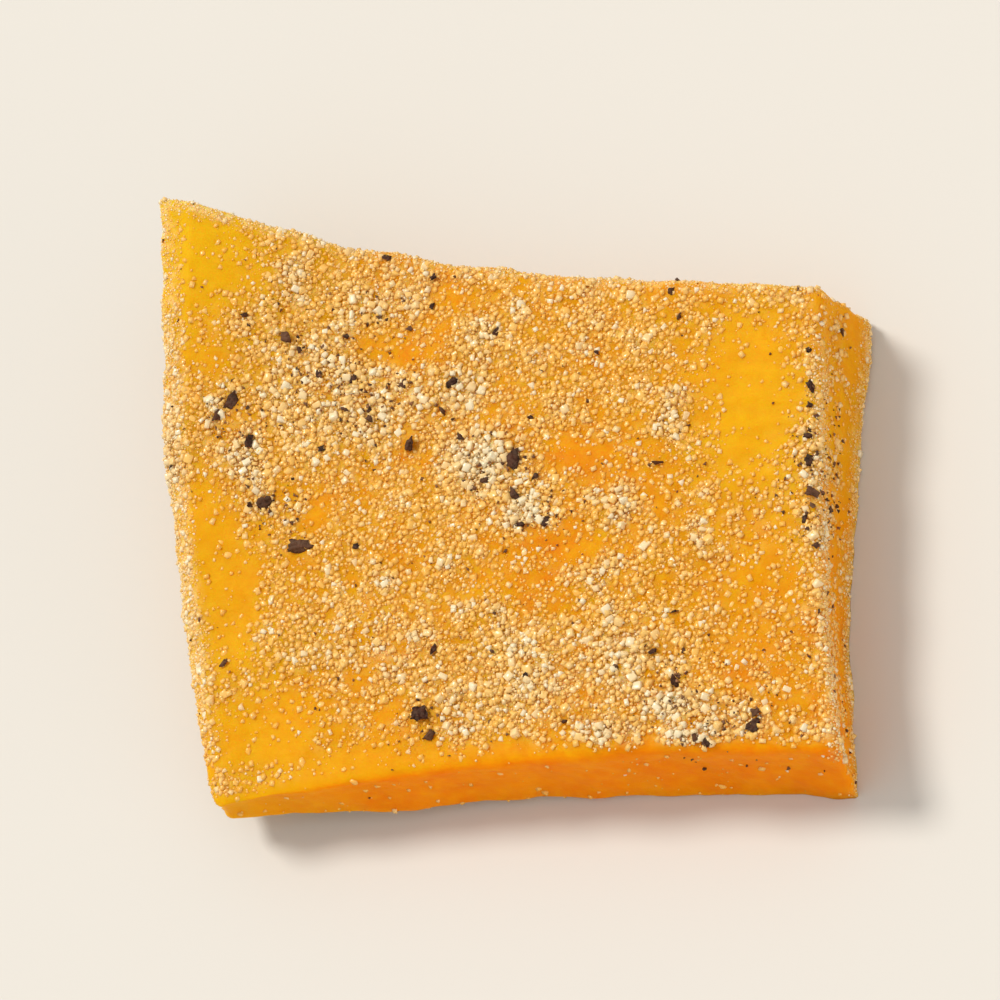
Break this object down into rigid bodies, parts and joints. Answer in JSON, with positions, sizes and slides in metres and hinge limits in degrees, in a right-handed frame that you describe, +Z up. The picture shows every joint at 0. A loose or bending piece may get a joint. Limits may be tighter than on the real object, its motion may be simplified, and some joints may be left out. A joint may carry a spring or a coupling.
{
  "type": "dried mango piece",
  "caption": "Square-cut slab of soft dried mango with one curled corner, coated in sugar grains and ground pepper.",
  "frame": {"origin": "on the surface that the piece lies on, under the middle of its outer box", "axes": "+X to the right along the front cut, +Y back, +Z up out of the sugared cut face"},
  "size_m": [0.0408, 0.0336, 0.0082],
  "materials": {
    "mango_flesh": "soft, slightly translucent",
    "sugar": "fine sparkling crystals",
    "pepper": "matt crushed flakes"
  },
  "bodies": {
    "root": {"dried_mango_piece": "mango_flesh"}
  },
  "joints": []
}
